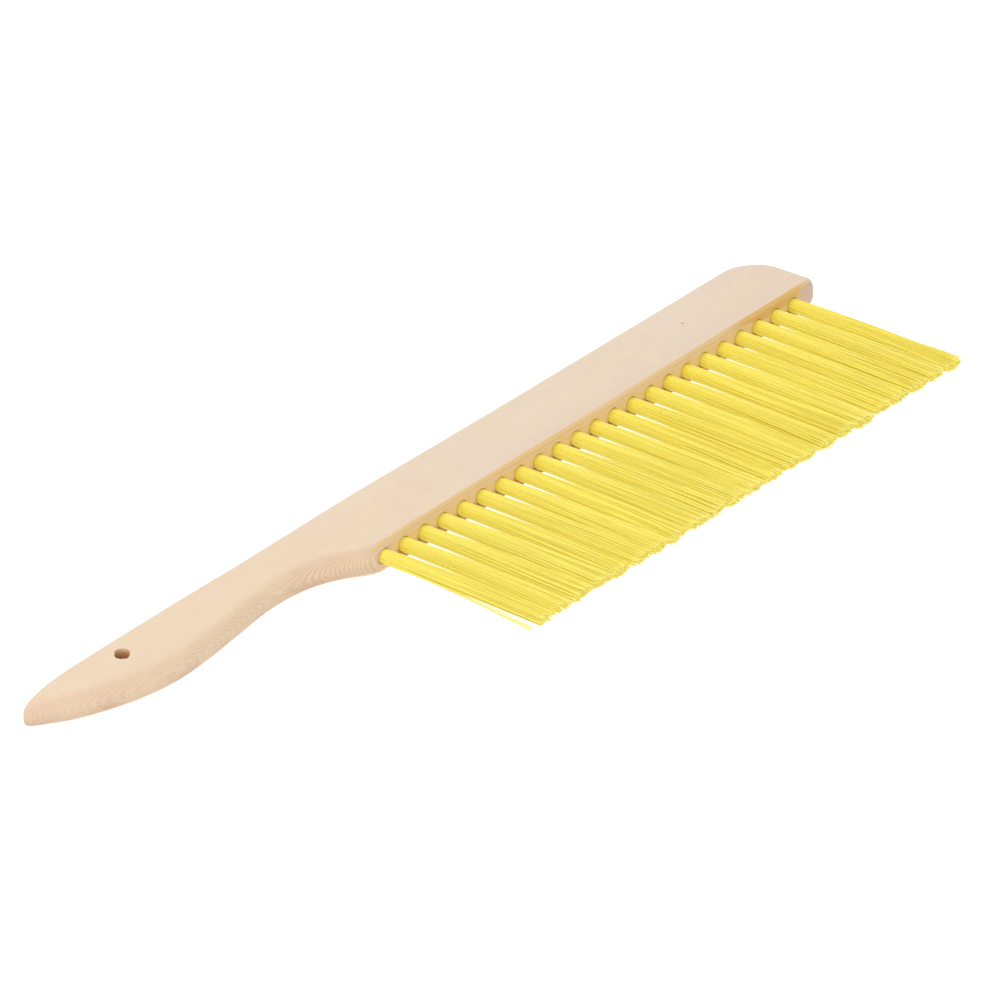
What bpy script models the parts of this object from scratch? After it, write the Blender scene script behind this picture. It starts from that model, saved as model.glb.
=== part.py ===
"""Bee brush: a one-piece wooden block and grip with a single row of staple-set bristle tufts.

Units are metres and +Z is up. The shapes are laid out in the row's own frame: X runs along the row from
the first tuft's axis towards the head's end, Y runs from the tufted face to the back edge, and Z = 0 is
the middle of the block's thickness. The empty "brush_frame" then carries everything to the part's frame,
whose origin is the bottom centre of the whole brush's bounding box.
"""

import math

import bmesh
import bpy
from mathutils import Vector

# Driving dimensions of the row and the block
TUFT_COUNT = 23
TUFT_PITCH = 0.011
HEAD_WIDTH = 0.0295
THICKNESS = 0.012
HEAD_OVERHANG = 0.0153  # last tuft's axis to the head's end
GRIP_REACH = 0.1610  # first tuft's axis to the grip's tip
HEAD_BACK_CORNER = (0.018, 0.0245)  # plan ellipse of the head's back corner, along X and along Y
HEAD_FRONT_CORNER = (0.0035, 0.0030)  # the same for the tufted corner

# Bristles, holes and anchors
FIRST_BRISTLE_LENGTH = 0.0695  # hole mouth to cut tips, at the tuft next to the grip
LAST_BRISTLE_LENGTH = 0.0730  # the same at the head's end, because the row is trimmed at a slight slant
BRISTLE_DROOP = 0.0016  # how far the tips hang below the row's axis
TUFT_RADIUS = 0.00275
TUFT_TIP_HALF_WIDTH = 0.0052  # along the row
TUFT_TIP_HALF_HEIGHT = 0.0023
TUFT_DEPTH = 0.0154  # hole mouth to the fold round the anchor
HOLE_DEPTH = 0.0158  # full-width part of the drilled hole
DRILL_POINT = 0.0012
CLEARANCE = 0.0003
ANCHOR_SIZE = Vector((0.0072, 0.0018, 0.00045))  # along the row, along the hole, across
ANCHOR_DEPTH = 0.012  # hole mouth to the anchor's middle
HANGING_HOLE_RADIUS = 0.0025
HANGING_HOLE_AT = Vector((-0.1155, 0.0212, 0.0))

# Plan outline of the grip, tip to head, as (x, y). A smooth curve runs through each list.
GRIP_FRONT = (
    (-GRIP_REACH, 0.0240),
    (-0.1480, 0.0163),
    (-0.1320, 0.0099),
    (-0.1180, 0.0062),
    (-0.1030, 0.0046),
    (-0.0860, 0.0058),
    (-0.0660, 0.0085),
    (-0.0500, 0.0107),
    (-0.0380, 0.0109),
    (-0.0280, 0.0098),
    (-0.0200, 0.0074),
    (-0.0130, 0.0041),
    (-0.0080, 0.0014),
    (-0.0035, 0.0001),
    (0.0000, 0.0000),
    (0.0100, 0.0000),
)
GRIP_BACK = (
    (-GRIP_REACH, 0.0264),
    (-0.1540, 0.0287),
    (-0.1400, 0.0301),
    (-0.1200, 0.0307),
    (-0.0950, 0.0311),
    (-0.0600, 0.0313),
    (-0.0100, 0.0310),
    (0.0500, 0.0300),
    (0.1100, HEAD_WIDTH),
    (0.1200, HEAD_WIDTH),
)

# The front edges. On the head each is a 45 degree chamfer of head_size, and on the grip a round of grip_size,
# as (across, up). The change between them starts and ends at the two x values of shoulder.
UPPER_FRONT = {"side": 1, "head_size": 0.0011, "grip_size": (0.0065, 0.0056), "shoulder": (0.014, -0.016)}
LOWER_FRONT = {"side": -1, "head_size": 0.0006, "grip_size": (0.0045, 0.0056), "shoulder": (0.001, -0.016)}
END_ROUNDING = (0.0026, 0.0046)  # (across, up) of both front edges where the head ends
END_ROUNDING_FADE = (0.0085, 0.0005)  # where that rounding grows, measured back from the head's end

# The back edges, rounded by (across, up)
HEAD_BACK_EDGE = (0.0006, 0.0006)
GRIP_BACK_EDGE = (0.0030, 0.0048)
BACK_ROUNDING = (0.040, -0.050)  # x where the back edge's growth starts and ends

# Both ends
TIP_TAPER_LENGTH = 0.0255
TIP_HALF_THICKNESS = 0.0027
HEAD_END_EASING = (0.0050, 0.0046)  # bullnose of the head's end, as (along, up)

# Shape of a tuft along its free length, in shares of that length
FLARE_START = 0.03
FLARE_POWER = 0.7  # under 1, the tuft spreads fastest near the block
TUFT_RING_SHARES = (0.0, 0.03, 0.12, 0.3, 0.6, 1.0)
TUFT_FOLD_ROUNDING = 0.0008
DRILL_OVERRUN = 0.002  # how far a drill's shape starts outside the tufted face

# Mesh fineness
CORNER_STEPS = 4
END_STEPS = 8
PLAIN_STEP = 0.006
SHOULDER_START, SHOULDER_END, SHOULDER_STEP = -0.030, 0.015, 0.0025
BACK_STRAIGHT_FROM, BULGE_STEP = 0.110, 0.021
TUFT_SIDES = 10
DRILL_SIDES = 12
HANGING_HOLE_SIDES = 24
SCREW_MERGE = 0.00001
WOOD_SHARP_ANGLE = 32
TUFT_SHARP_ANGLE = 50

HALF_THICKNESS = THICKNESS / 2
ROW_LENGTH = (TUFT_COUNT - 1) * TUFT_PITCH
HEAD_END = ROW_LENGTH + HEAD_OVERHANG
BACK_BULGE = max(y for _, y in GRIP_BACK)
FRAME_ORIGIN = Vector(
    ((HEAD_END - GRIP_REACH) / 2, (BACK_BULGE - LAST_BRISTLE_LENGTH) / 2, -HALF_THICKNESS)
)


def remove_all_objects():
    for obj in list(bpy.data.objects):
        bpy.data.objects.remove(obj, do_unlink=True)


def smoothstep(t):
    t = min(max(t, 0.0), 1.0)
    return t * t * (3 - 2 * t)


def mix(a, b, t):
    return a + (b - a) * t


def through(points, x):
    """Height at x of the smooth curve (cubic, with mean slopes) through the (x, y) points."""
    last = len(points) - 1
    slopes = []
    for i in range(len(points)):
        before, after = points[max(i - 1, 0)], points[min(i + 1, last)]
        slopes.append((after[1] - before[1]) / (after[0] - before[0]))
    i = max(n for n in range(last) if points[n][0] <= x or n == 0)
    (x0, y0), (x1, y1) = points[i], points[i + 1]
    span = x1 - x0
    t = min(max((x - x0) / span, 0.0), 1.0)
    rise = y1 - y0
    bend_in = slopes[i] * span - rise
    bend_out = rise - slopes[i + 1] * span
    return mix(y0, y1, t) + t * (1 - t) * ((1 - t) * bend_in + t * bend_out)


def corner_inset(x, corner):
    """How far an elliptic plan corner at the head's end pulls the outline in at x."""
    length, depth = corner
    share = max(x - (HEAD_END - length), 0.0) / length
    return depth * (1 - math.sqrt(max(1 - share**2, 0.0)))


def front_edge(x):
    return through(GRIP_FRONT, x) + corner_inset(x, HEAD_FRONT_CORNER)


def back_edge(x):
    return through(GRIP_BACK, x) - corner_inset(x, HEAD_BACK_CORNER)


def half_thickness(x):
    """Constant, except that the grip's tip narrows and the head's end has eased edges."""
    into_tip = max(-GRIP_REACH + TIP_TAPER_LENGTH - x, 0.0) / TIP_TAPER_LENGTH
    tip = mix(TIP_HALF_THICKNESS, HALF_THICKNESS, math.sqrt(max(1 - into_tip**2, 0.0)))
    along, up = HEAD_END_EASING
    into_end = max(x - HEAD_END + along, 0.0) / along
    return tip - up * (1 - math.sqrt(max(1 - into_end**2, 0.0)))


def share_between(x, start, end):
    """0 up to start and 1 from end on, with a smooth change between them. Start may lie beyond end."""
    return smoothstep((x - start) / (end - start))


def front_corner(x, edge):
    """A front edge at x, as (across, up, roundness)."""
    at_grip = share_between(x, *edge["shoulder"])
    at_end = share_between(x, *(HEAD_END - back for back in END_ROUNDING_FADE))
    across = mix(mix(edge["head_size"], END_ROUNDING[0], at_end), edge["grip_size"][0], at_grip)
    up = mix(mix(edge["head_size"], END_ROUNDING[1], at_end), edge["grip_size"][1], at_grip)
    widest = 0.45 * (back_edge(x) - front_edge(x))
    return min(across, widest), up * half_thickness(x) / HALF_THICKNESS, max(at_grip, at_end)


def back_corner(x):
    """A back edge at x, as (across, up, roundness)."""
    at_grip = share_between(x, *BACK_ROUNDING)
    across = mix(HEAD_BACK_EDGE[0], GRIP_BACK_EDGE[0], at_grip)
    up = mix(HEAD_BACK_EDGE[1], GRIP_BACK_EDGE[1], at_grip)
    widest = 0.35 * (back_edge(x) - front_edge(x))
    return min(across, widest), up * half_thickness(x) / HALF_THICKNESS, 1.0


def corner_points(across, up, roundness):
    """A corner from its side to its top, as (inset, drop): straight at roundness 0, elliptic at 1."""
    points = []
    for i in range(CORNER_STEPS + 1):
        share = i / CORNER_STEPS
        angle = share * math.pi / 2
        inset = across * mix(share, 1 - math.cos(angle), roundness)
        drop = up * mix(1 - share, 1 - math.sin(angle), roundness)
        points.append((inset, drop))
    return points


def block_section(x):
    """The block's closed section at x, as points in order round it."""
    y_front, y_back, half = front_edge(x), back_edge(x), half_thickness(x)
    points = []
    for edge in (UPPER_FRONT, LOWER_FRONT):
        front = corner_points(*front_corner(x, edge))
        back = reversed(corner_points(*back_corner(x)))
        outline = [(y_front + inset, half - drop) for inset, drop in front]
        outline += [(y_back - inset, half - drop) for inset, drop in back]
        side = edge["side"]
        points += [Vector((x, y, side * z)) for y, z in outline[::side]]
    return points


def spread(start, end, step):
    """Evenly spaced places from start up to, but not at, end."""
    count = math.ceil((end - start) / step)
    return [mix(start, end, i / count) for i in range(count)]


def block_stations():
    """Where the block's sections stand: close together at both ends and round the shoulder."""
    quarter = [i / END_STEPS * math.pi / 2 for i in range(END_STEPS + 1)]
    grip_start = TIP_TAPER_LENGTH - GRIP_REACH
    corner_length = HEAD_BACK_CORNER[0]
    tip = [grip_start - TIP_TAPER_LENGTH * math.cos(angle) for angle in quarter[:-1]]
    grip = spread(grip_start, SHOULDER_START, PLAIN_STEP)
    shoulder = spread(SHOULDER_START, SHOULDER_END, SHOULDER_STEP)
    bulge = spread(SHOULDER_END, BACK_STRAIGHT_FROM, BULGE_STEP)
    head_end = [HEAD_END - corner_length * (1 - math.sin(angle)) for angle in quarter]
    return tip + grip + shoulder + bulge + [BACK_STRAIGHT_FROM] + head_end


def loft(name, rings):
    """A closed mesh through rings of equal point counts, with a flat cap on each end."""
    bm = bmesh.new()
    loops = [[bm.verts.new(point) for point in ring] for ring in rings]
    for near, far in zip(loops, loops[1:]):
        for i in range(len(near)):
            j = (i + 1) % len(near)
            bm.faces.new((near[i], near[j], far[j], far[i]))
    bm.faces.new(loops[0])
    bm.faces.new(loops[-1])
    bmesh.ops.recalc_face_normals(bm, faces=bm.faces)
    return finished_mesh(name, bm)


def finished_mesh(name, bm):
    mesh = bpy.data.meshes.new(name)
    bm.to_mesh(mesh)
    bm.free()
    return mesh


def box_mesh(name, size):
    bm = bmesh.new()
    bmesh.ops.create_cube(bm, size=1.0)
    bmesh.ops.scale(bm, vec=size, verts=bm.verts)
    return finished_mesh(name, bm)


def new_collection(name, parent):
    collection = bpy.data.collections.new(name)
    parent.children.link(collection)
    return collection


def place(name, mesh, collection, frame, location=(0, 0, 0)):
    obj = bpy.data.objects.new(name, mesh)
    obj.location = location
    obj.parent = frame
    collection.objects.link(obj)
    return obj


def as_cutter(obj):
    obj.hide_render = True
    obj.display_type = "WIRE"
    return obj


def subtract(obj, name, cutter=None, cutters=None):
    modifier = obj.modifiers.new(name, "BOOLEAN")
    modifier.operation = "DIFFERENCE"
    modifier.solver = "EXACT"
    if cutters:
        modifier.operand_type = "COLLECTION"
        modifier.collection = cutters
    else:
        modifier.object = cutter


def shade(mesh, sharp_angle):
    mesh.shade_smooth()
    mesh.set_sharp_from_angle(angle=math.radians(sharp_angle))


def material(name, colour, roughness, metallic=0.0):
    made = bpy.data.materials.new(name)
    made.use_nodes = True
    surface = made.node_tree.nodes["Principled BSDF"]
    surface.inputs["Base Color"].default_value = (*colour, 1.0)
    surface.inputs["Roughness"].default_value = roughness
    surface.inputs["Metallic"].default_value = metallic
    return made


def tuft_places():
    return [Vector((i * TUFT_PITCH, 0.0, 0.0)) for i in range(TUFT_COUNT)]


def tuft_ring(out, half_width, half_height, sag=0.0):
    """One ring of a tuft, this far out of the hole's mouth. A negative distance lies in the hole."""
    ring = []
    for i in range(TUFT_SIDES):
        angle = 2 * math.pi * (i + 0.5) / TUFT_SIDES
        across, up = half_width * math.cos(angle), half_height * math.sin(angle)
        ring.append(Vector((across, -out, up - sag)))
    return ring


def tuft_mesh(length):
    """A round bundle in its hole that spreads along the row and thins as it runs out to the cut tips."""
    fold = TUFT_FOLD_ROUNDING
    rings = [
        tuft_ring(-TUFT_DEPTH, TUFT_RADIUS - fold, TUFT_RADIUS - fold),
        tuft_ring(-TUFT_DEPTH + fold, TUFT_RADIUS, TUFT_RADIUS),
    ]
    for share in TUFT_RING_SHARES:
        flare = (max(share - FLARE_START, 0.0) / (1 - FLARE_START)) ** FLARE_POWER
        half_width = mix(TUFT_RADIUS, TUFT_TIP_HALF_WIDTH, flare)
        half_height = mix(TUFT_RADIUS, TUFT_TIP_HALF_HEIGHT, flare)
        rings.append(tuft_ring(share * length, half_width, half_height, BRISTLE_DROOP * share**2))
    return loft("tuft_blank", rings)


def tuft_with_window(name, length, collection, frame):
    """A tuft's mesh with the passage that its bundle leaves where it is folded round the anchor."""
    blank = place("tuft_blank", tuft_mesh(length), collection, frame)
    size = ANCHOR_SIZE + Vector((0, 2 * CLEARANCE, 2 * CLEARANCE))
    window = place("tuft_window", box_mesh("tuft_window", size), collection, frame, (0, ANCHOR_DEPTH, 0))
    subtract(blank, "anchor window", window)
    graph = bpy.context.evaluated_depsgraph_get()
    mesh = bpy.data.meshes.new_from_object(blank.evaluated_get(graph))
    mesh.name = name
    for helper in (blank, window):
        bpy.data.objects.remove(helper, do_unlink=True)
    return mesh


def drill_cutter(collection, frame, location):
    """A drill's shape, turned about the hole's axis: its straight flank, then its point."""
    radius = TUFT_RADIUS + CLEARANCE
    profile = (
        (0.0, DRILL_OVERRUN),
        (radius, DRILL_OVERRUN),
        (radius, -HOLE_DEPTH),
        (0.0, -HOLE_DEPTH - DRILL_POINT),
    )
    mesh = bpy.data.meshes.new("tuft_drill")
    mesh.from_pydata([(r, 0.0, z) for r, z in profile], [(i, i + 1) for i in range(len(profile) - 1)], [])
    cutter = as_cutter(place("tuft_drill", mesh, collection, frame, location))
    cutter.rotation_euler = (math.pi / 2, 0.0, 0.0)
    turn = cutter.modifiers.new("turn", "SCREW")
    turn.steps = DRILL_SIDES
    turn.render_steps = DRILL_SIDES
    turn.use_merge_vertices = True
    turn.merge_threshold = SCREW_MERGE
    return cutter


def hanging_hole_cutter(collection, frame):
    bm = bmesh.new()
    bmesh.ops.create_cone(
        bm,
        cap_ends=True,
        segments=HANGING_HOLE_SIDES,
        radius1=HANGING_HOLE_RADIUS,
        radius2=HANGING_HOLE_RADIUS,
        depth=2 * THICKNESS,
    )
    mesh = finished_mesh("hanging_drill", bm)
    return as_cutter(place("hanging_drill", mesh, collection, frame, HANGING_HOLE_AT))


def build_block(parts, cutters, frame):
    """The block and grip, one piece of wood, with the row's blind holes and the hanging hole."""
    drills = new_collection("tuft_drills", cutters)
    nicks = new_collection("anchor_nicks", cutters)
    nick_mesh = box_mesh("anchor_nick", ANCHOR_SIZE + Vector((1, 1, 1)) * 2 * CLEARANCE)
    for spot in tuft_places():
        drill_cutter(drills, frame, spot)
        as_cutter(place("anchor_nick", nick_mesh, nicks, frame, spot + Vector((0, ANCHOR_DEPTH, 0))))
    block = place("handle_block", loft("handle_block", map(block_section, block_stations())), parts, frame)
    subtract(block, "tuft holes", cutters=drills)
    subtract(block, "anchor nicks", cutters=nicks)
    subtract(block, "hanging hole", hanging_hole_cutter(cutters, frame))
    shade(block.data, WOOD_SHARP_ANGLE)
    block.data.materials.append(material("beech", (0.82, 0.66, 0.49), 0.6))


def build_row(parts, frame):
    """A bristle tuft in every hole, with the flat wire anchor that it is folded round."""
    bristle = material("bristle", (0.89, 0.72, 0.13), 0.45)
    wire = box_mesh("anchor", ANCHOR_SIZE)
    wire.materials.append(material("anchor_wire", (0.62, 0.61, 0.58), 0.35, metallic=1.0))
    for number, spot in enumerate(tuft_places(), start=1):
        along_row = (number - 1) / (TUFT_COUNT - 1)
        length = mix(FIRST_BRISTLE_LENGTH, LAST_BRISTLE_LENGTH, along_row)
        name = f"tuft_{number:02d}"
        bundle = tuft_with_window(name, length, parts, frame)
        shade(bundle, TUFT_SHARP_ANGLE)
        bundle.materials.append(bristle)
        place(name, bundle, parts, frame, spot)
        place(f"anchor_{number:02d}", wire, parts, frame, spot + Vector((0, ANCHOR_DEPTH, 0)))


def main():
    remove_all_objects()
    scene_root = bpy.context.scene.collection
    parts = new_collection("bee_brush", scene_root)
    cutters = new_collection("cutters", scene_root)
    cutters.hide_render = True
    frame = bpy.data.objects.new("brush_frame", None)
    frame.location = -FRAME_ORIGIN
    parts.objects.link(frame)
    bpy.context.view_layer.update()
    build_block(parts, cutters, frame)
    build_row(parts, frame)


main()
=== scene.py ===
"""Looks of the bee brush: a fine wooden block, filament tufts folded round their anchors, a soft studio.

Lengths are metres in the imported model's frame, +Z up: X runs along the row towards the head's end, and
-Y is the way the bristles point. The block is laid out in the row's own coordinates, as in the CAD:
x from the first tuft's axis, y from the tufted face, z from the middle of the thickness.
"""

import math

import bmesh
import bpy
import numpy as np
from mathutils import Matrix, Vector


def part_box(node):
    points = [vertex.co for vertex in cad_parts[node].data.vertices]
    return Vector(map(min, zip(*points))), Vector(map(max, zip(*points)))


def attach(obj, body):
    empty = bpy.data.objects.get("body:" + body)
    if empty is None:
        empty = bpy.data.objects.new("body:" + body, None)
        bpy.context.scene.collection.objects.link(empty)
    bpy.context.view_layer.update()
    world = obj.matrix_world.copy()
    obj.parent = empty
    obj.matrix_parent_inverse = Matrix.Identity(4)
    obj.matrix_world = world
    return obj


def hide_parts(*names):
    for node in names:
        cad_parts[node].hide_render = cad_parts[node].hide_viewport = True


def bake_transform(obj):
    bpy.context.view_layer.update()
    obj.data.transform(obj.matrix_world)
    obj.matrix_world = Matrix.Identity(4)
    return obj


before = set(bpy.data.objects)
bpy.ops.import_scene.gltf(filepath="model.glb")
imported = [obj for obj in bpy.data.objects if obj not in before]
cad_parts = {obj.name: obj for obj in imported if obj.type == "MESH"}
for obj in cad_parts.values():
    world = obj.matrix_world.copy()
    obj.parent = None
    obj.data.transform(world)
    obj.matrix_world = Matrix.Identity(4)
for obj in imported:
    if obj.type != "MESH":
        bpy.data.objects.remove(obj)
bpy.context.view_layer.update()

# Places read from the frame
TUFT_NODES = sorted(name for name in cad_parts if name.startswith("tuft_"))
ANCHOR_NODES = sorted(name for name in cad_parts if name.startswith("anchor_"))
TUFT_BOXES = [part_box(name) for name in TUFT_NODES]
TUFT_AXES = [(low.x + high.x) / 2 for low, high in TUFT_BOXES]
BLOCK_LOW, BLOCK_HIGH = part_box("handle_block")
TUFT_DEPTH = 0.0154  # from the hole's mouth to the fold round the anchor
MOUTH_Y = TUFT_BOXES[0][1].y - TUFT_DEPTH
ROW_ORIGIN = Vector((TUFT_AXES[0], MOUTH_Y, (BLOCK_LOW.z + BLOCK_HIGH.z) / 2))
FREE_LENGTHS = [MOUTH_Y - low.y for low, _ in TUFT_BOXES]

# The block, as in the CAD, in row coordinates
HEAD_END = BLOCK_HIGH.x - ROW_ORIGIN.x
GRIP_REACH = ROW_ORIGIN.x - BLOCK_LOW.x
HALF_THICKNESS = (BLOCK_HIGH.z - BLOCK_LOW.z) / 2
HEAD_WIDTH = 0.0295
HEAD_BACK_CORNER = (0.018, 0.0245)
HEAD_FRONT_CORNER = (0.0035, 0.0030)
GRIP_FRONT = (
    (-GRIP_REACH, 0.0240),
    (-0.1480, 0.0163),
    (-0.1320, 0.0099),
    (-0.1180, 0.0062),
    (-0.1030, 0.0046),
    (-0.0860, 0.0058),
    (-0.0660, 0.0085),
    (-0.0500, 0.0107),
    (-0.0380, 0.0109),
    (-0.0280, 0.0098),
    (-0.0200, 0.0074),
    (-0.0130, 0.0041),
    (-0.0080, 0.0014),
    (-0.0035, 0.0001),
    (0.0000, 0.0000),
    (0.0100, 0.0000),
)
GRIP_BACK = (
    (-GRIP_REACH, 0.0264),
    (-0.1540, 0.0287),
    (-0.1400, 0.0301),
    (-0.1200, 0.0307),
    (-0.0950, 0.0311),
    (-0.0600, 0.0313),
    (-0.0100, 0.0310),
    (0.0500, 0.0300),
    (0.1100, HEAD_WIDTH),
    (0.1200, HEAD_WIDTH),
)
UPPER_FRONT = {"side": 1, "head_size": 0.0011, "grip_size": (0.0065, 0.0056), "shoulder": (0.014, -0.016)}
LOWER_FRONT = {"side": -1, "head_size": 0.0006, "grip_size": (0.0045, 0.0056), "shoulder": (0.001, -0.016)}
END_ROUNDING = (0.0026, 0.0046)
END_ROUNDING_FADE = (0.0085, 0.0005)  # measured back from the head's end
HEAD_BACK_EDGE = (0.0006, 0.0006)
GRIP_BACK_EDGE = (0.0030, 0.0048)
BACK_ROUNDING = (0.040, -0.050)
TIP_TAPER_LENGTH = 0.0255
TIP_HALF_THICKNESS = 0.0027
HEAD_END_EASING = (0.0050, 0.0046)
TIP_EASING = 0.0005  # softened rim of the blunt tip
EASED_CHAMFER_POWER = 1.1  # 1 is a straight chamfer with sharp lines, 2 an ellipse

# Holes and anchors, as in the CAD but for the worn and torn rims
HOLE_RADIUS = 0.00282
HOLE_DEPTH = 0.0158
DRILL_POINT = 0.0012
MOUTH_SINK = 0.0005  # countersink that breaks the mouth's edge
HANGING_HOLE_RADIUS = 0.0025
HANGING_HOLE_AT = Vector((-0.1155, 0.0212, 0.0))
WORN_TOWARDS = math.radians(218)  # direction in plan in which the hole's upper rim is worn down
WORN_SHARE = 0.75  # how far, in radii
WORN_DEPTH = 0.003
TORN_TOWARDS = 0.3  # radians, direction in plan in which both rims are torn
TORN_SHARE = 0.09
TORN_DEPTH = 0.0012
RIM_FLARE = 0.02
WALL_RIPPLE = 0.012
ANCHOR_SIZE = Vector((0.0072, 0.0018, 0.00045))
ANCHOR_DEPTH = 0.012
ANCHOR_ROOM = 0.0003

# The wood's growth layers, the painted gold reflection on the chamfer and the fleck, in row coordinates
PITH_DISTANCE = 0.022  # in front of the tufted face
LAYER_TILT = math.radians(3)
LAYER_THICKNESS = 0.00072
LAYER_WAVES = (((9.0, 30.0, 30.0), 0.0032), ((60.0, 160.0, 160.0), 0.0004))  # noise scale per metre, size
RUNOUT_FROM = -0.030  # x from which the layers bend away from X towards the grip's tip
RUNOUT_BEND = 1.6  # per metre, change of their slope along X
GOLD_FADE = (0.0160, 0.0030)  # where the painted gold reflection narrows, measured back from the head's end
GOLD_WIDENS = (0.208, 0.226)  # x between which it widens downwards
GOLD_WIDENED_BY = 0.0030
GOLD_BLUR = 0.0003  # half the width over which its upper and lower lines fade
FLECK_AT = (0.1962, 0.0165, HALF_THICKNESS)

# Filaments
LOOPS_PER_TUFT = 140  # each loop is one filament, so a tuft shows twice as many ends
FILAMENT_RADIUS = 0.00016
FILAMENT_SIDES = 5
ROOT_RADIUS = 0.00253  # of the bundle, to its outermost filaments' middles
TIP_HALF_WIDTH = 0.0057
TIP_HALF_HEIGHT = 0.0018
DROOP = 0.0016
FLARE_START = 0.07  # share of the free length at which the bundle starts to spread
FLARE_POWER = (0.50, 0.62)  # at the row's ends, and in its middle, where the gaps between tufts are longest
THINNING_POWER = 1.3
DRIFT = (0.00026, 0.00020)  # spread of the cut ends across and up, on top of their places in the bundle
DRIFT_POWER = 1.5
WAVE = 0.00007
TRIM_SPREAD = 0.0005
TRIM_CURVE = (0.0003, 0.0004)  # how much shorter the ends are at the bundle's sides, and below it
SHORT_SHARE = 0.05  # of the filaments are shorter than the rest
SHORT_BY = (0.0008, 0.0035)
CLUMPS_PER_TUFT = 6
CLUMPING = 0.10  # how far a filament's end is drawn towards its clump
TONE_SPREAD = (0.06, 0.17)  # between tufts, and between a tuft's filaments
FREE_STEPS = 9
HOLE_STEPS = 3
FOLD_STEPS = 6
FOLD_CENTRE_DEPTH = TUFT_DEPTH - ROOT_RADIUS - FILAMENT_RADIUS
ANCHOR_GAP = 0.00044  # from the hole's middle plane to the nearest filament beside the anchor
SETTLED_WIDTH = 0.95  # the bundle's width beside the anchor, as a share of its width in the mouth
GOLDEN_RATIO = (math.sqrt(5) - 1) / 2
INNER_GLOW = 0.085  # stands for the light that clear nylon passes on from filament to filament

# Strays that part from the row's two outer sides, as (sideways, upwards, share of the length they start at)
FIRST_TUFT_STRAYS = [(-0.0026 - 0.0004 * n, -0.0004 - 0.0003 * n, 0.08) for n in range(4)]
LAST_TUFT_STRAYS = [(0.0008, 0.0006, 0.4), (0.0012, 0.0006, 0.4)]

# Studio
FLOOR_SIZE = 60.0
FLOOR_DROP = 0.055
FLOOR_GLOW = 0.90
WORLD_GLOW = 0.74
CAMERA_AZIMUTH = math.radians(-52.38)
CAMERA_ELEVATION = math.radians(28.30)
CAMERA_DISTANCE = 2.792
CAMERA_TARGET = ROW_ORIGIN + Vector((0.0588, -0.0032, 0.0))
LENS_LENGTH = 289.1  # mm, for a sensor 36 mm wide


def smoothstep(t):
    t = np.clip(t, 0.0, 1.0)
    return t * t * (3 - 2 * t)


def mix(a, b, t):
    return a + (b - a) * t


# ---------------------------------------------------------------- the wooden block


def through(points, x):
    """Height at x of the smooth curve (cubic, with mean slopes) through the (x, y) points."""
    last = len(points) - 1
    slopes = []
    for i in range(len(points)):
        before, after = points[max(i - 1, 0)], points[min(i + 1, last)]
        slopes.append((after[1] - before[1]) / (after[0] - before[0]))
    i = max(n for n in range(last) if points[n][0] <= x or n == 0)
    (x0, y0), (x1, y1) = points[i], points[i + 1]
    span = x1 - x0
    t = min(max((x - x0) / span, 0.0), 1.0)
    rise = y1 - y0
    bend_in = slopes[i] * span - rise
    bend_out = rise - slopes[i + 1] * span
    return mix(y0, y1, t) + t * (1 - t) * ((1 - t) * bend_in + t * bend_out)


def corner_inset(x, corner):
    """How far an elliptic plan corner at the head's end pulls the outline in at x."""
    length, depth = corner
    share = max(x - (HEAD_END - length), 0.0) / length
    return depth * (1 - math.sqrt(max(1 - share**2, 0.0)))


def tip_ease(x):
    """How far the blunt tip's softened rim pulls the section in at x."""
    into_rim = max(TIP_EASING - (x + GRIP_REACH), 0.0)
    return TIP_EASING - math.sqrt(max(TIP_EASING**2 - into_rim**2, 0.0))


def front_edge(x):
    return through(GRIP_FRONT, x) + corner_inset(x, HEAD_FRONT_CORNER) + tip_ease(x)


def back_edge(x):
    return through(GRIP_BACK, x) - corner_inset(x, HEAD_BACK_CORNER) - tip_ease(x)


def half_thickness(x):
    """Constant, except that the grip's tip narrows and the head's end has eased edges."""
    into_tip = max(-GRIP_REACH + TIP_TAPER_LENGTH - x, 0.0) / TIP_TAPER_LENGTH
    tip = mix(TIP_HALF_THICKNESS, HALF_THICKNESS, math.sqrt(max(1 - into_tip**2, 0.0)))
    along, up = HEAD_END_EASING
    into_end = max(x - HEAD_END + along, 0.0) / along
    return tip - up * (1 - math.sqrt(max(1 - into_end**2, 0.0))) - tip_ease(x)


def share_between(x, start, end):
    """0 up to start and 1 from end on, with a smooth change between them. Start may lie beyond end."""
    return float(smoothstep((x - start) / (end - start)))


def front_corner(x, edge):
    """A front edge at x, as (across, up, roundness): a chamfer on the head, and a round on the grip."""
    at_grip = share_between(x, *edge["shoulder"])
    at_end = share_between(x, *(HEAD_END - back for back in END_ROUNDING_FADE))
    across = mix(mix(edge["head_size"], END_ROUNDING[0], at_end), edge["grip_size"][0], at_grip)
    up = mix(mix(edge["head_size"], END_ROUNDING[1], at_end), edge["grip_size"][1], at_grip)
    widest = 0.45 * (back_edge(x) - front_edge(x))
    return min(across, widest), up * half_thickness(x) / HALF_THICKNESS, max(at_grip, at_end)


def back_corner(x):
    """A back edge at x, as (across, up, roundness)."""
    at_grip = share_between(x, *BACK_ROUNDING)
    across = mix(HEAD_BACK_EDGE[0], GRIP_BACK_EDGE[0], at_grip)
    up = mix(HEAD_BACK_EDGE[1], GRIP_BACK_EDGE[1], at_grip)
    widest = 0.35 * (back_edge(x) - front_edge(x))
    return min(across, widest), up * half_thickness(x) / HALF_THICKNESS, 1.0


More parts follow.
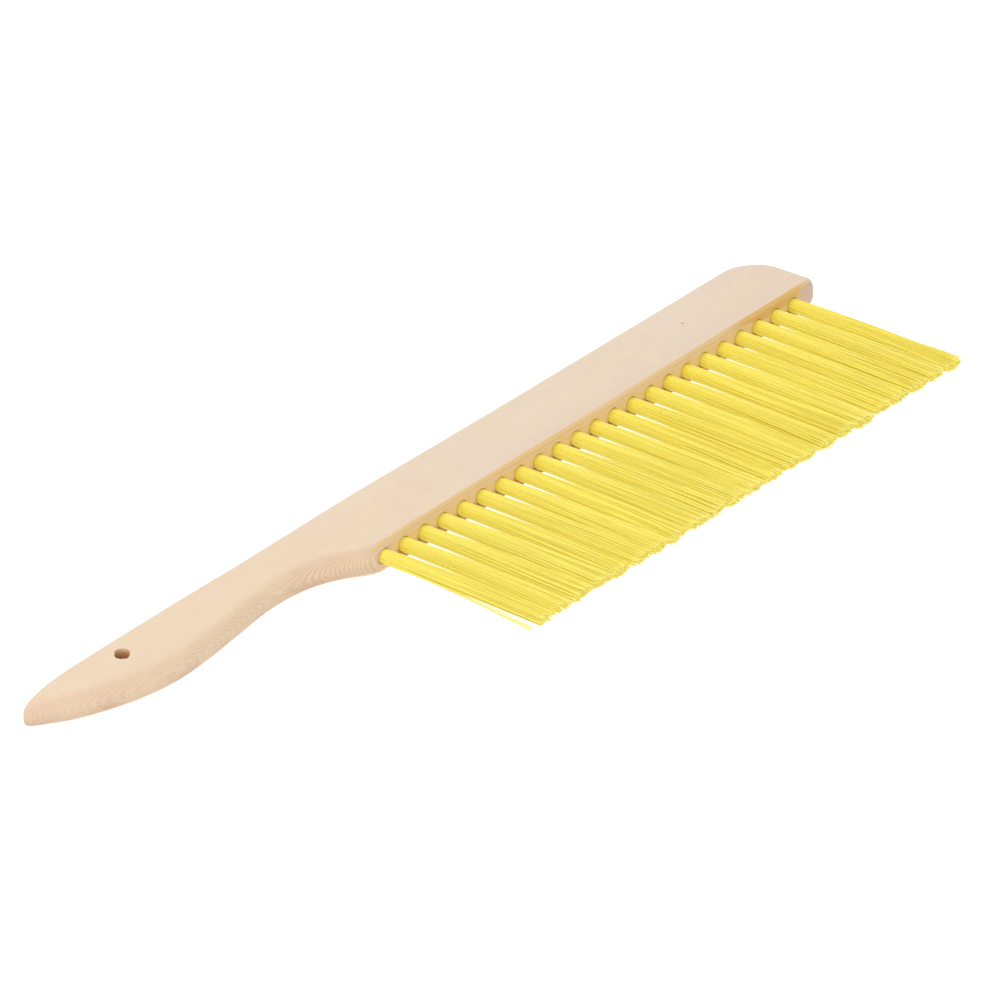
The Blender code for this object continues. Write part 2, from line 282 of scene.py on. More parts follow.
def corner_points(across, up, roundness, steps=12):
    """A corner from side to top, as (inset, drop): an eased chamfer at roundness 0, elliptic at 1."""
    power = 2 / mix(EASED_CHAMFER_POWER, 2.0, roundness)
    points = []
    for i in range(steps + 1):
        angle = i / steps * math.pi / 2
        points.append((across * (1 - math.cos(angle) ** power), up * (1 - math.sin(angle) ** power)))
    return points


def block_section(x):
    """The block's closed section at x, as points in order round it."""
    y_front, y_back, half = front_edge(x), back_edge(x), half_thickness(x)
    points = []
    for edge in (UPPER_FRONT, LOWER_FRONT):
        front = corner_points(*front_corner(x, edge))
        back = reversed(corner_points(*back_corner(x)))
        outline = [(y_front + inset, half - drop) for inset, drop in front]
        outline += [(y_back - inset, half - drop) for inset, drop in back]
        side = edge["side"]
        points += [Vector((x, y, side * z)) for y, z in outline[::side]]
    return points


def spread(start, end, step):
    """Evenly spaced places from start up to, but not at, end."""
    count = math.ceil((end - start) / step)
    return [mix(start, end, i / count) for i in range(count)]


def block_stations():
    """Where the block's sections stand: close together at both ends and round the shoulder."""
    rim = [TIP_EASING * (1 - math.cos(i / 5 * math.pi / 2)) - GRIP_REACH for i in range(5)]
    taper_end = TIP_TAPER_LENGTH - GRIP_REACH
    tip = spread(TIP_EASING - GRIP_REACH, taper_end, 0.0008)
    grip = spread(taper_end, -0.020, 0.0015)
    shoulder = spread(-0.020, 0.015, 0.0005)
    head = spread(0.015, HEAD_END - HEAD_BACK_CORNER[0], 0.004)
    quarter = [i / 28 * math.pi / 2 for i in range(29)]
    head_end = [HEAD_END - HEAD_BACK_CORNER[0] * (1 - math.sin(angle)) for angle in quarter]
    return rim + tip + grip + shoulder + head + head_end


def mesh_from_rings(name, rings):
    """A closed mesh through rings of equal point counts, with a flat cap on each end."""
    bm = bmesh.new()
    loops = [[bm.verts.new(point) for point in ring] for ring in rings]
    for near, far in zip(loops, loops[1:]):
        for i in range(len(near)):
            j = (i + 1) % len(near)
            bm.faces.new((near[i], near[j], far[j], far[i]))
    bm.faces.new(loops[0])
    bm.faces.new(loops[-1])
    bmesh.ops.recalc_face_normals(bm, faces=bm.faces)
    mesh = bpy.data.meshes.new(name)
    bm.to_mesh(mesh)
    bm.free()
    return mesh


def add_object(name, data):
    obj = bpy.data.objects.new(name, data)
    bpy.context.scene.collection.objects.link(obj)
    return obj


def turned_rings(profile, sides, spot, axis, wobble=None):
    """Rings of a body turned about an axis through spot, from (radius, height) pairs along the axis."""
    rings = []
    for radius, height in profile:
        ring = []
        for i in range(sides):
            angle = 2 * math.pi * i / sides
            r = radius * (1 + (wobble(angle, height) if wobble else 0.0))
            across, other = r * math.cos(angle), r * math.sin(angle)
            offset = Vector((across, other, height)) if axis == "Z" else Vector((across, -height, other))
            ring.append(spot + offset)
        rings.append(ring)
    return rings


def tuft_drill_rings(spot):
    """The drill's shape in the tufted face: a countersunk mouth, a straight flank and a drill point."""
    profile = (
        (HOLE_RADIUS + MOUTH_SINK * 1.6, MOUTH_SINK),
        (HOLE_RADIUS + MOUTH_SINK * 0.5, 0.0),
        (HOLE_RADIUS, -MOUTH_SINK),
        (HOLE_RADIUS, -HOLE_DEPTH),
        (0.0001, -HOLE_DEPTH - DRILL_POINT),
    )
    return turned_rings(profile, 28, spot, "Y")


def hanging_drill_rings():
    """The hanging hole's shape: torn at the rims on the head's side, worn down on the grip's front side."""
    rng = np.random.default_rng(5)
    phases = rng.uniform(0, 2 * math.pi, 3)

    def wobble(angle, height):
        at_rim = float(smoothstep((abs(height) - HALF_THICKNESS + TORN_DEPTH) / TORN_DEPTH))
        at_top = float(smoothstep((height - HALF_THICKNESS + WORN_DEPTH) / WORN_DEPTH))
        torn_side = max(math.cos(angle - TORN_TOWARDS), 0.0)
        worn_side = max(math.cos(angle - WORN_TOWARDS), 0.0) ** 2
        ripple = sum(math.sin(n * angle + phase) for n, phase in zip((5, 8, 13), phases)) / 3
        torn = at_rim * (RIM_FLARE + TORN_SHARE * torn_side * (1 + ripple))
        worn = at_top * WORN_SHARE * worn_side * (1 + 0.15 * ripple)
        return torn + worn + WALL_RIPPLE * ripple

    rim = HALF_THICKNESS
    profile = [(1.25, rim + 0.0008), (1.02, rim)]
    profile += [(1.0, rim - WORN_DEPTH * i / 4) for i in range(1, 5)]
    profile += [(1.0, TORN_DEPTH - rim), (1.02, 0.0004 - rim), (1.06, -rim), (1.3, -rim - 0.0008)]
    profile = [(HANGING_HOLE_RADIUS * share, height) for share, height in profile]
    return turned_rings(profile, 56, HANGING_HOLE_AT, "Z", wobble)


def anchor_nick_mesh():
    bm = bmesh.new()
    bmesh.ops.create_cube(bm, size=1.0)
    bmesh.ops.scale(bm, vec=ANCHOR_SIZE + Vector((1, 1, 1)) * 2 * ANCHOR_ROOM, verts=bm.verts)
    mesh = bpy.data.meshes.new("anchor_nick")
    bm.to_mesh(mesh)
    bm.free()
    return mesh


def cut(obj, cutters):
    """Cuts each cutter object from obj and applies the result, then removes the cutters."""
    group = bpy.data.collections.new("cutters")
    for cutter in cutters:
        group.objects.link(cutter)
    bpy.context.scene.collection.children.link(group)
    modifier = obj.modifiers.new("holes", "BOOLEAN")
    modifier.operation = "DIFFERENCE"
    modifier.solver = "EXACT"
    modifier.operand_type = "COLLECTION"
    modifier.collection = group
    graph = bpy.context.evaluated_depsgraph_get()
    obj.data = bpy.data.meshes.new_from_object(obj.evaluated_get(graph))
    obj.modifiers.clear()
    for cutter in cutters:
        bpy.data.objects.remove(cutter, do_unlink=True)
    bpy.data.collections.remove(group)


def build_block(wood):
    """The one-piece block and grip, with its tuft holes, anchor nicks and hanging hole."""
    sections = [block_section(x) for x in block_stations()]
    block = add_object("wooden_block", mesh_from_rings("wooden_block", sections))
    spots = [Vector((x - ROW_ORIGIN.x, 0.0, 0.0)) for x in TUFT_AXES]
    drill_shapes = [tuft_drill_rings(spot) for spot in spots] + [hanging_drill_rings()]
    cut(block, [bpy.data.objects.new("drill", mesh_from_rings("drill", rings)) for rings in drill_shapes])
    nick = anchor_nick_mesh()
    nicks = []
    for spot in spots:
        cutter = bpy.data.objects.new("nick", nick)
        cutter.location = spot + Vector((0.0, ANCHOR_DEPTH, 0.0))
        nicks.append(cutter)
    cut(block, nicks)
    for vertex in block.data.vertices:
        vertex.co += ROW_ORIGIN
    block.data.name = "wooden_block"
    block.data.shade_smooth()
    block.data.set_sharp_from_angle(angle=math.radians(34))
    block.data.materials.clear()
    block.data.materials.append(wood)
    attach(block, "block")
    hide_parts("handle_block")


# ---------------------------------------------------------------- the filament tufts


def disc_spots(count):
    """Evenly packed spots in the upper half of a unit disc, in sunflower order."""
    order = np.arange(count)
    radius = np.sqrt((order + 0.5) / count)
    angle = math.pi * (order * GOLDEN_RATIO % 1.0)
    return radius * np.cos(angle), radius * np.sin(angle)


def free_leg(across, up, length, tuft, rng):
    """Points of each filament's leg from the hole's mouth to its cut end, in the tuft's own coordinates."""
    count = len(across)
    share = np.linspace(0.0, 1.0, FREE_STEPS + 1)[None, :]
    run = np.maximum(share - FLARE_START, 0.0) / (1 - FLARE_START)
    flare = run ** tuft["flare_power"]
    half_width = mix(ROOT_RADIUS, TIP_HALF_WIDTH * tuft["width"], flare)
    half_height = mix(ROOT_RADIUS, TIP_HALF_HEIGHT * tuft["height"], run**THINNING_POWER)
    nearest = np.abs(across[:, None] - tuft["clumps"]).argmin(1)
    pulled = across[:, None] + CLUMPING * flare * (tuft["clumps"][nearest] - across)[:, None]
    outer_side = across[:, None] * tuft["outer_side"] > 0
    side_pull = 1 - tuft["pull_in"] * flare * outer_side
    drift_x = rng.normal(0, DRIFT[0], (count, 1)) * share**DRIFT_POWER
    drift_z = rng.normal(0, DRIFT[1], (count, 1)) * share**DRIFT_POWER
    wave = WAVE * np.sin(share * rng.uniform(5, 11, (count, 1)) + rng.uniform(0, 6.3, (count, 1))) * share
    at_sides, below = TRIM_CURVE[0] * across**2, TRIM_CURVE[1] * (1 - up)
    trimmed = length - at_sides - below + rng.normal(0, TRIM_SPREAD, count)
    is_short = rng.random(count) < SHORT_SHARE
    trimmed += tuft["clump_trims"][nearest] - is_short * rng.uniform(*SHORT_BY, count)
    x = pulled * half_width * side_pull + drift_x + wave + tuft["lean_x"] * share**1.6
    other_wave = wave[::-1]  # each filament takes another one's wave for its height
    z = up[:, None] * half_height + drift_z + other_wave - (DROOP + tuft["lean_z"]) * share**2
    y = -trimmed[:, None] * share
    return np.stack([x, y, z], axis=2)


def hole_leg(across, up):
    """Points of each filament from the hole's mouth to the start of its fold beside the anchor."""
    share = np.arange(1, HOLE_STEPS + 1)[None, :] / HOLE_STEPS
    settled = smoothstep(share * 2)
    beside = np.sign(up) * (ANCHOR_GAP + np.abs(up) * (ROOT_RADIUS - ANCHOR_GAP))
    x = across[:, None] * ROOT_RADIUS * mix(1.0, SETTLED_WIDTH, settled)
    z = mix(up[:, None] * ROOT_RADIUS, beside[:, None], settled)
    y = np.broadcast_to(FOLD_CENTRE_DEPTH * share, x.shape)
    return np.stack([x, y, z], axis=2)


def fold(across, up):
    """Points of the half turn under the anchor, without its two ends."""
    turn = np.linspace(0, math.pi, FOLD_STEPS + 1)[None, 1:-1]
    radius = (ANCHOR_GAP + np.abs(up) * (ROOT_RADIUS - ANCHOR_GAP))[:, None]
    y = FOLD_CENTRE_DEPTH + radius * np.sin(turn)
    z = radius * np.cos(turn)
    x = np.broadcast_to(across[:, None] * ROOT_RADIUS * SETTLED_WIDTH, y.shape)
    return np.stack([x, y, z], axis=2)


def tuft_character(number, rng):
    """What makes one tuft differ from the next."""
    in_middle = math.sin(math.pi * number / (len(TUFT_NODES) - 1))
    return {
        "flare_power": mix(*FLARE_POWER, in_middle),
        "width": 1 + rng.normal(0, 0.05),
        "height": 1 + rng.normal(0, 0.05),
        "lean_x": rng.normal(0, 0.00035),
        "lean_z": rng.normal(0, 0.00025),
        "clumps": np.sort(rng.uniform(-0.95, 0.95, CLUMPS_PER_TUFT)),
        "clump_trims": rng.normal(0, 0.0003, CLUMPS_PER_TUFT),
        "outer_side": {0: -1, len(TUFT_NODES) - 1: 1}.get(number, 0),
        "pull_in": 0.42 if number == 0 else 0.3,
    }


def stray(leg, chosen, side_x, side_z, start):
    """Lets the chosen filament of a leg part from the bundle, from a share of its length onwards."""
    share = np.linspace(0.0, 1.0, FREE_STEPS + 1)
    away = np.clip((share - start) / (1 - start), 0, 1) ** 1.3
    leg[chosen, :, 0] += side_x * away
    leg[chosen, :, 2] += side_z * away


def tuft_paths(number):
    """Centre lines of one tuft's filaments: cut end, mouth, fold round the anchor, mouth, cut end."""
    rng = np.random.default_rng(100 + number)
    across, up = disc_spots(LOOPS_PER_TUFT)
    tuft = tuft_character(number, rng)
    length = FREE_LENGTHS[number]
    upper = free_leg(across, up, length, tuft, rng)
    lower = free_leg(across, -up, length, tuft, rng)
    for leg in (upper, lower):
        for _ in range(rng.integers(0, 3)):
            chosen = rng.integers(LOOPS_PER_TUFT)
            stray(leg, chosen, rng.normal(0, 0.0011), rng.normal(0, 0.0005), rng.uniform(0.15, 0.5))
    outermost = np.argsort(across)
    if number == 0:
        for chosen, parting in zip(outermost, FIRST_TUFT_STRAYS):
            stray(lower, chosen, *parting)
    if number == len(TUFT_NODES) - 1:
        for chosen, parting in zip(outermost[-len(LAST_TUFT_STRAYS) :], LAST_TUFT_STRAYS):
            stray(upper, chosen, *parting)
    down, back = hole_leg(across, up), hole_leg(across, -up)
    paths = np.concatenate([upper[:, ::-1], down, fold(across, up), back[:, ::-1], lower], axis=1)
    return paths + np.array([TUFT_AXES[number], MOUTH_Y, ROW_ORIGIN.z]), rng


def tube_mesh(name, paths, radius, sides):
    """Closed tubes along many centre lines at once, as one mesh, with flat cut ends."""
    count, points, _ = paths.shape
    tangent = np.gradient(paths, axis=1)
    tangent /= np.linalg.norm(tangent, axis=2, keepdims=True)
    across = np.array([1.0, 0.0, 0.0]) - tangent * tangent[:, :, :1]
    across /= np.linalg.norm(across, axis=2, keepdims=True)
    other = np.cross(tangent, across)
    angle = 2 * math.pi * np.arange(sides) / sides
    rim = across[:, :, None] * np.cos(angle)[:, None] + other[:, :, None] * np.sin(angle)[:, None]
    vertices = (paths[:, :, None] + radius * rim).reshape(-1, 3)
    index = np.arange(count * points * sides).reshape(count, points, sides)
    turned = np.roll(index, -1, axis=2)
    quads = np.stack([index[:, :-1], turned[:, :-1], turned[:, 1:], index[:, 1:]], axis=-1).reshape(-1, 4)
    mesh = bpy.data.meshes.new(name)
    faces = quads.tolist() + index[:, 0, ::-1].tolist() + index[:, -1].tolist()
    mesh.from_pydata(vertices.tolist(), [], faces)
    mesh.shade_smooth()
    mesh.set_sharp_from_angle(angle=math.radians(75))
    return mesh


def add_value(mesh, name, values):
    mesh.attributes.new(name, "FLOAT", "POINT").data.foreach_set("value", values.astype(np.float32).ravel())


def build_tuft(number, bristle):
    """One bundle of filament loops that bends along its free length."""
    paths, rng = tuft_paths(number)
    name = TUFT_NODES[number].replace("tuft", "bristles")
    mesh = tube_mesh(name, paths, FILAMENT_RADIUS, FILAMENT_SIDES)
    mesh.materials.append(bristle)
    count, points, _ = paths.shape
    tuft_tone = 0.5 + rng.normal(0, TONE_SPREAD[0])
    tone = np.clip(rng.normal(tuft_tone, TONE_SPREAD[1], (count, 1, 1)), 0, 1)
    reach = (MOUTH_Y - paths[:, :, 1:2]) / FREE_LENGTHS[number]
    every = np.ones((count, points, FILAMENT_SIDES))
    add_value(mesh, "tone", tone * every)
    add_value(mesh, "reach", reach * every)
    tuft = add_object(name, mesh)
    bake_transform(tuft)
    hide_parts(TUFT_NODES[number])


# ---------------------------------------------------------------- materials


def srgb(red, green, blue):
    """An opaque colour given as 0 to 255 display values, in linear light."""
    linear = []
    for value in (red, green, blue):
        v = value / 255
        linear.append(v / 12.92 if v <= 0.04045 else ((v + 0.055) / 1.055) ** 2.4)
    return (*linear, 1.0)


class Graph:
    """A short way to write a node material: each method adds nodes and returns their output."""

    def __init__(self, name):
        self.material = bpy.data.materials.new(name)
        self.material.use_nodes = True
        self.tree = self.material.node_tree
        self.surface = self.tree.nodes["Principled BSDF"]

    def add(self, kind, inputs=None, **settings):
        made = self.tree.nodes.new(kind)
        for key, value in settings.items():
            setattr(made, key, value)
        for key, value in (inputs or {}).items():
            self.feed(made.inputs[key], value)
        return made

    def feed(self, socket, value):
        """Links a node's output to a socket, or sets the socket to a plain value."""
        if isinstance(value, bpy.types.NodeSocket):
            self.tree.links.new(value, socket)
        else:
            socket.default_value = value

    def set_surface(self, **values):
        """Feeds sockets of the surface shader, named with underscores for spaces."""
        for name, value in values.items():
            self.feed(self.surface.inputs[name.replace("_", " ")], value)

    def maths(self, operation, a, b=0.0):
        return self.add("ShaderNodeMath", {0: a, 1: b}, operation=operation).outputs[0]

    def plus(self, a, b):
        return self.maths("ADD", a, b)

    def minus(self, a, b):
        return self.maths("SUBTRACT", a, b)

    def times(self, first, *others):
        for other in others:
            first = self.maths("MULTIPLY", first, other)
        return first

    def vector(self, operation, a, b=(0.0, 0.0, 0.0)):
        return self.add("ShaderNodeVectorMath", {0: a, 1: b}, operation=operation).outputs

    def span(self, value, low, high, to_low=0.0, to_high=1.0):
        """Maps low to high smoothly on to to_low to to_high, and holds both ends."""
        inputs = {"Value": value, "From Min": low, "From Max": high, "To Min": to_low, "To Max": to_high}
        return self.add("ShaderNodeMapRange", inputs, interpolation_type="SMOOTHSTEP").outputs["Result"]

    def mixed(self, share, a, b):
        """A plain value from a to b by share."""
        return self.plus(self.times(share, b - a), a)

    def blend(self, share, a, b):
        """A colour from a to b by share."""
        made = self.add("ShaderNodeMix", {"Factor": share}, data_type="RGBA")
        self.feed(made.inputs[6], a)
        self.feed(made.inputs[7], b)
        return made.outputs[2]

    def noise(self, place, scale, detail=3.0, roughness=0.55):
        """Noise about 0.5, at a scale per metre along each axis."""
        scaled = self.vector("MULTIPLY", place, scale)["Vector"]
        inputs = {"Vector": scaled, "Scale": 1.0, "Detail": detail, "Roughness": roughness}
        return self.add("ShaderNodeTexNoise", inputs).outputs["Fac"]

    def ramp(self, value, *stops):
        made = self.add("ShaderNodeValToRGB", {"Fac": value})
        elements = made.color_ramp.elements
        while len(elements) < len(stops):
            elements.new(0.5)
        for element, (position, colour) in zip(elements, stops):
            element.position = position
            element.color = colour
        return made.outputs["Color"]

    def bump(self, height, strength, distance):
        inputs = {"Height": height, "Strength": strength, "Distance": distance}
        self.set_surface(Normal=self.add("ShaderNodeBump", inputs).outputs["Normal"])


def growth_lines(g, local, x, y, z):
    """The late wood of each growth layer, as 0 to 1.

    The layers run round a pith in front of the tufted face, and bend away from X in the grip.
    """
    pith_y = g.plus(y, PITH_DISTANCE * math.cos(LAYER_TILT))
    pith_z = g.plus(z, PITH_DISTANCE * math.sin(LAYER_TILT))
    radius = g.maths("SQRT", g.plus(g.times(pith_y, pith_y), g.times(pith_z, pith_z)))
    past = g.maths("MINIMUM", g.minus(x, RUNOUT_FROM), 0.0)
    bend = g.times(g.times(past, past), RUNOUT_BEND / 2)
    warped = g.minus(radius, bend)
    for scale, size in LAYER_WAVES:
        wave = g.minus(g.noise(local, scale, 2.0), 0.5)
        warped = g.plus(warped, g.times(wave, size))
    layer = g.maths("FRACT", g.maths("DIVIDE", warped, LAYER_THICKNESS))
    return g.times(g.span(layer, 0.35, 0.80), g.span(layer, 0.99, 0.88))


def growth_line_strength(g, local, x, z):
    """How clearly the growth lines show: faintly on the planed faces, clearly on the rounded grip."""
    on_face = g.span(g.maths("ABSOLUTE", z), 0.0047, 0.0058)
    on_grip = g.span(x, 0.012, 0.0)
    by_shape = g.times(g.mixed(on_grip, 0.45, 1.0), g.mixed(on_face, 1.0, 0.2))
    on_shoulder = g.span(x, -0.048, -0.016, 0.45, 1.0)
    patches = g.span(g.noise(local, (25.0, 90.0, 90.0), 2.0), 0.35, 0.65, 0.55, 1.0)
    return g.times(by_shape, on_shoulder, patches)


def plain_wood_with_painted_shade(g, local, x, z):
    """The wood's ground colour: warmer on the grip and on its sides, darker low on the rounded sides with
    painted shade, and faintly clouded.
    """
    top = g.blend(g.span(x, -0.05, 0.08), srgb(228, 205, 178), srgb(224, 206, 186))
    # painted shade: the rounded sides darken towards the bottom, where less light reaches them
    side = g.blend(g.span(z, 0.002, -0.005), srgb(227, 198, 167), srgb(194, 158, 128))
    colour = g.blend(g.span(g.maths("ABSOLUTE", z), 0.0040, 0.0056), side, top)
    cloud = g.span(g.noise(local, (14.0, 70.0, 70.0), 3.0), 0.3, 0.7)
    colour = g.blend(g.times(cloud, 0.35), colour, srgb(224, 196, 170))
    blotch = g.span(g.noise(local, (70.0, 110.0, 110.0), 1.0), 0.38, 0.62)
    return g.blend(g.times(blotch, 0.3), colour, srgb(229, 210, 176))


def with_painted_gold_reflection(g, colour, x, y, z):
    """The colour with a painted gold reflection of the yellow bristles, with painted shade, on the upper
    chamfer: wider by the last tufts, a thin line round the shoulder.

    Also gives the height above the gold's lower line.
    """
    chamfer_low = HALF_THICKNESS - UPPER_FRONT["head_size"]
    narrows_from, narrows_to = (HEAD_END - back for back in GOLD_FADE)
    lower_line = g.span(x, narrows_from, narrows_to, chamfer_low - 0.0004, chamfer_low + 0.0004)
    lower_line = g.minus(lower_line, g.span(x, 0.005, -0.013, 0.0, 0.0020))
    upper_line = g.plus(lower_line, g.span(x, 0.004, 0.018, 0.0009, 0.0030))
    widened = g.times(g.span(x, *GOLD_WIDENS), g.span(x, HEAD_END - 0.009, HEAD_END - 0.014))
    lower_line = g.minus(lower_line, g.times(widened, GOLD_WIDENED_BY))
    above = g.minus(z, lower_line)
    over_top = g.minus(z, upper_line)
    behind = g.minus(y, g.span(x, 0.010, -0.006, 0.0009, 0.0040))
    share = g.times(
        g.span(above, -GOLD_BLUR, GOLD_BLUR),
        g.span(behind, 0.0007, 0.0),
        g.span(over_top, GOLD_BLUR, -GOLD_BLUR),
        g.span(x, -0.011, -0.003, 0.0, 0.9),
        g.span(x, HEAD_END - 0.006, HEAD_END - 0.012, 0.5, 1.0),
    )
    # painted reflection and shade: the bristles' yellow light on the chamfer, strongest by the last tufts
    gold = g.ramp(
        g.span(x, 0.0, HEAD_END),
        (0.03, srgb(229, 192, 134)),
        (0.24, srgb(229, 192, 128)),
        (0.5, srgb(231, 197, 142)),
        (0.885, srgb(226, 191, 134)),
        (0.915, srgb(223, 179, 96)),
    )
    return g.blend(share, colour, gold), above


def with_tufted_face_and_painted_light(g, colour, x, y, z, above):
    """The colour with its tones on the tufted face, at a height above the gold's lower line.

    It is browner by the last tufts; above the tufts it has a painted yellow reflection of the bristles,
    under them a painted shadow, and on the rounded nose at the head's end a grey painted shade.
    """
    on_front = g.times(g.span(y, 0.0012, 0.0004), g.span(above, 0.0001, -0.0004))
    tone = g.blend(g.span(x, 0.200, 0.225), srgb(238, 205, 160), srgb(220, 182, 152))
    colour = g.blend(g.times(on_front, g.span(x, -0.002, 0.012, 0.0, 0.9)), colour, tone)
    in_row = g.times(g.span(x, 0.002, 0.007), g.span(x, HEAD_END - 0.008, HEAD_END - 0.014))
    by_tufts = g.times(on_front, in_row)
    # painted reflection: yellow light from the bristles on the wood just above them
    painted_bristle_reflection = g.times(by_tufts, g.span(z, 0.0037, 0.0028, 0.0, 0.8))
    colour = g.blend(painted_bristle_reflection, colour, srgb(235, 201, 130))
    # painted shadow, warmed by the bristles' reflection, on the wood under and between the tufts
    painted_shadow_beneath = g.times(by_tufts, g.span(z, 0.0005, -0.0028, 0.0, 0.9))
    colour = g.blend(painted_shadow_beneath, colour, srgb(165, 116, 62))
    # painted shade: the rounded nose at the head's end turns greyer and darker
    painted_nose_shade = g.times(g.span(x, HEAD_END - 0.014, HEAD_END - 0.007), g.span(above, 0.0002, -0.0008))
    return g.blend(g.times(painted_nose_shade, 0.8), colour, srgb(205, 180, 158))


def with_marks_and_hole_shade(g, colour, local, x, y, z):
    """The colour with one small dark fleck on the upper face and the hanging hole's scorched wall, with
    painted shade that darkens it down into the hole.
    """
    from_fleck = g.vector("SUBTRACT", local, FLECK_AT)["Vector"]
    from_fleck = g.vector("MULTIPLY", from_fleck, (0.5, 1.0, 1.0))["Vector"]
    to_fleck = g.vector("LENGTH", from_fleck)["Value"]
    colour = g.blend(g.span(to_fleck, 0.0006, 0.0001, 0.0, 0.6), colour, srgb(120, 84, 60))

    in_plan = g.add("ShaderNodeCombineXYZ", {0: x, 1: y, 2: 0.0}).outputs[0]
    to_hole = g.vector("DISTANCE", in_plan, (HANGING_HOLE_AT.x, HANGING_HOLE_AT.y, 0.0))["Value"]
    scorch_and_shade = g.span(to_hole, HANGING_HOLE_RADIUS * 1.15, HANGING_HOLE_RADIUS * 0.98)
    # scorching from drilling, with painted shade: darker deeper in the hole, lighter towards the rim
    wall = g.blend(g.span(z, 0.002, 0.006), srgb(172, 112, 64), srgb(216, 166, 108))
    return g.blend(g.times(scorch_and_shade, 0.85), colour, wall)


def wood_material():
    """Pale beech with nested rings on its rounded sides and fine flecks, and painted light and shade: a
    gold reflection of the bristles on the chamfer, a reflection and a shadow by the tufts, and shade low on
    the sides, on the head's nose and in the hanging hole.
    """
    g = Graph("pale_beech")
    place = g.add("ShaderNodeTexCoord").outputs["Object"]
    local = g.vector("SUBTRACT", place, tuple(ROW_ORIGIN))["Vector"]
    x, y, z = g.add("ShaderNodeSeparateXYZ", {0: local}).outputs

    line = growth_lines(g, local, x, y, z)
    rings = g.times(line, growth_line_strength(g, local, x, z))
    colour = g.blend(g.times(rings, 0.5), plain_wood_with_painted_shade(g, local, x, z), srgb(192, 147, 112))

    # Short dark flecks and pale fibres along the grain
    flecks = g.span(g.noise(local, (420.0, 2600.0, 2600.0), 2.0, 0.6), 0.60, 0.74)
    colour = g.blend(g.times(flecks, 0.22), colour, srgb(190, 140, 98))
    fibres = g.span(g.noise(local, (70.0, 1500.0, 1500.0), 3.0), 0.35, 0.7)
    colour = g.blend(g.times(fibres, 0.10), colour, srgb(250, 232, 210))

    colour, above = with_painted_gold_reflection(g, colour, x, y, z)
    colour = with_tufted_face_and_painted_light(g, colour, x, y, z, above)
    colour = with_marks_and_hole_shade(g, colour, local, x, y, z)

    sheen = g.noise(local, (200.0, 900.0, 900.0), 2.0)
    g.set_surface(Base_Color=colour, Roughness=g.span(sheen, 0.2, 0.8, 0.52, 0.66), Specular_IOR_Level=0.35)
    pores = g.minus(g.times(fibres, 0.5), g.times(flecks, 0.8))
    g.bump(g.plus(pores, g.times(line, 0.3)), 0.35, 0.00008)
    return g.material


def bristle_material():
    """Lemon yellow nylon: each filament has its own tone and faint streaks, and its cut ends are paler with
    painted light, where light leaves the clear nylon; a faint painted glow stands for the light passed on
    inside the bundle.
    """
    g = Graph("yellow_nylon")
    tone = g.add("ShaderNodeAttribute", attribute_name="tone").outputs["Fac"]
    reach = g.add("ShaderNodeAttribute", attribute_name="reach").outputs["Fac"]
    place = g.add("ShaderNodeTexCoord").outputs["Object"]
    colour = g.ramp(
        tone,
        (0.0, srgb(238, 219, 77)),
        (0.45, srgb(241, 226, 95)),
        (1.0, srgb(243, 232, 117)),
    )
    streak = g.span(g.noise(place, (1800.0, 40.0, 1800.0), 2.0), 0.35, 0.7)
    colour = g.blend(g.times(streak, 0.2), colour, srgb(237, 219, 76))
    # painted light: the cut ends are paler where light leaves the clear nylon
    ends = g.span(reach, 0.955, 1.0)
    colour = g.blend(g.times(ends, 0.35), colour, srgb(250, 242, 150))
    g.set_surface(Base_Color=colour, Emission_Color=colour, Emission_Strength=INNER_GLOW)
    g.set_surface(Roughness=g.span(streak, 0.0, 1.0, 0.34, 0.46), IOR=1.53)
    g.bump(g.noise(place, (2500.0, 120.0, 2500.0), 2.0), 0.2, 0.00003)
    return g.material


def steel_material():
    """Flattened wire: drawn lines along its length and a little tarnish."""
    g = Graph("anchor_steel")
    place = g.add("ShaderNodeTexCoord").outputs["Object"]
    drawn = g.noise(place, (300.0, 6000.0, 6000.0), 3.0)
    tarnish = g.span(g.noise(place, (500.0, 500.0, 500.0), 3.0), 0.45, 0.75)
    colour = g.ramp(drawn, (0.3, (0.50, 0.49, 0.47, 1.0)), (0.7, (0.70, 0.69, 0.66, 1.0)))
    colour = g.blend(g.times(tarnish, 0.4), colour, (0.36, 0.31, 0.25, 1.0))
    g.set_surface(Base_Color=colour, Roughness=g.span(drawn, 0.2, 0.8, 0.28, 0.48), Metallic=1.0)
    g.bump(drawn, 0.3, 0.00002)
    return g.material


def dress_anchors(steel):
    """The anchors keep their CAD shape, a plain length of flat wire, and get their finish."""
    for name in ANCHOR_NODES:
        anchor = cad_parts[name]
        anchor.data.materials.clear()
        anchor.data.materials.append(steel)


# ---------------------------------------------------------------- studio


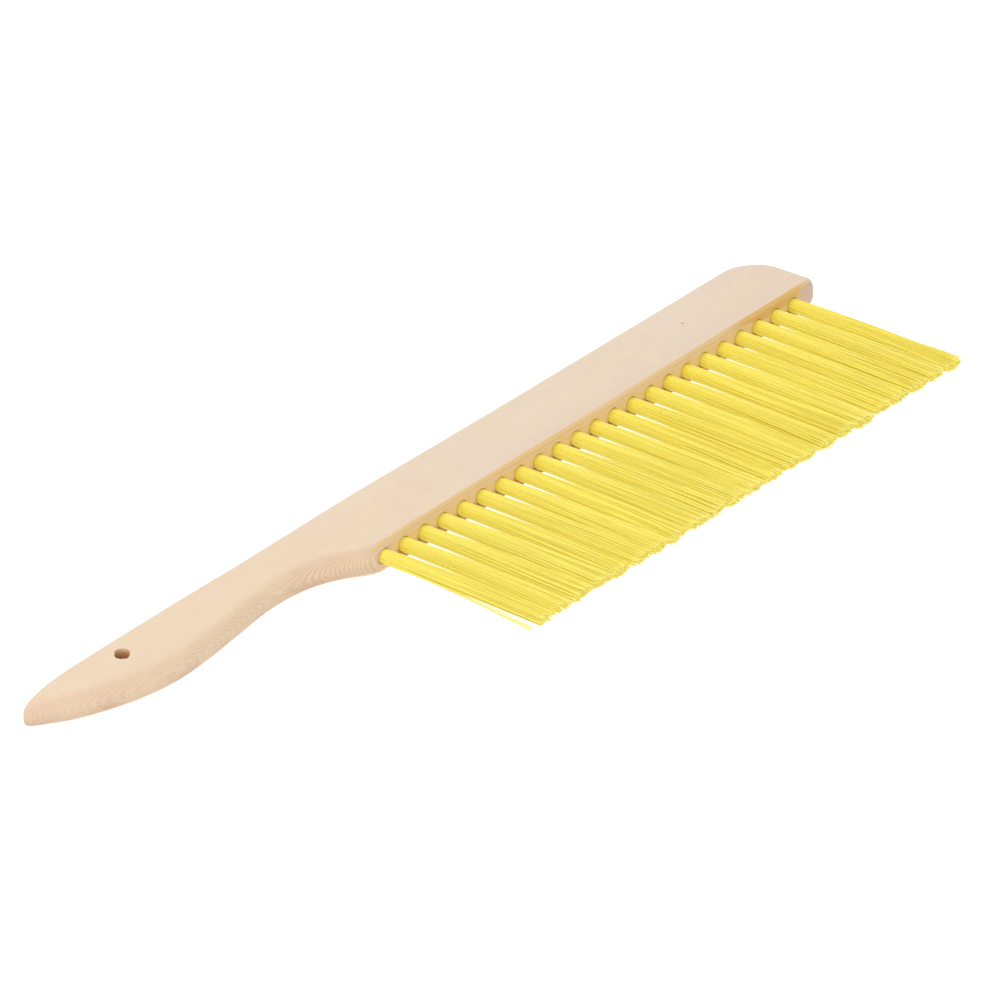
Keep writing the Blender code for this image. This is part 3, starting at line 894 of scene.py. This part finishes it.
def build_floor():
    """A pale glowing floor, far enough below the brush for its bristles to bend down to their limit."""
    bpy.ops.mesh.primitive_plane_add(size=FLOOR_SIZE, location=(0.0, 0.0, -FLOOR_DROP))
    floor = bpy.context.active_object
    floor.name = "floor"
    g = Graph("floor")
    g.set_surface(Base_Color=(0.25, 0.25, 0.25, 1.0), Roughness=0.9, Specular_IOR_Level=0.0)
    g.set_surface(Emission_Color=(1.0, 1.0, 1.0, 1.0), Emission_Strength=FLOOR_GLOW)
    floor.data.materials.append(g.material)


def aim(obj, target):
    obj.rotation_euler = (Vector(target) - obj.location).to_track_quat("-Z", "Y").to_euler()


def soft_light(name, location, size, power):
    lamp = bpy.data.lights.new(name, "AREA")
    lamp.shape = "SQUARE"
    lamp.size = size
    lamp.energy = power
    light = add_object(name, lamp)
    light.location = location
    aim(light, (0.0, 0.0, 0.0))


def build_light():
    world = bpy.data.worlds.new("studio")
    world.use_nodes = True
    background = world.node_tree.nodes["Background"]
    background.inputs["Color"].default_value = (1.0, 1.0, 1.0, 1)
    background.inputs["Strength"].default_value = WORLD_GLOW
    bpy.context.scene.world = world
    soft_light("overhead", (-0.2, 0.5, 1.7), 1.6, 13.0)
    soft_light("left_front", (-1.6, -1.0, 0.9), 1.2, 7.5)


def build_camera():
    """The photo's viewing angle: over the grip's side, low enough to see the tufted face."""
    level = math.cos(CAMERA_ELEVATION)
    sideways, forwards = math.sin(CAMERA_AZIMUTH) * level, math.cos(CAMERA_AZIMUTH) * level
    back = Vector((sideways, -forwards, math.sin(CAMERA_ELEVATION)))
    lens = bpy.data.cameras.new("camera")
    lens.sensor_width = 36.0
    lens.lens = LENS_LENGTH
    lens.clip_end = 20.0
    camera = add_object("camera", lens)
    camera.location = CAMERA_TARGET + CAMERA_DISTANCE * back
    aim(camera, CAMERA_TARGET)
    bpy.context.scene.camera = camera
    bpy.context.scene.view_settings.view_transform = "Standard"


build_camera()
build_floor()
build_light()
build_block(wood_material())
nylon = bristle_material()
for tuft_number in range(len(TUFT_NODES)):
    build_tuft(tuft_number, nylon)
dress_anchors(steel_material())
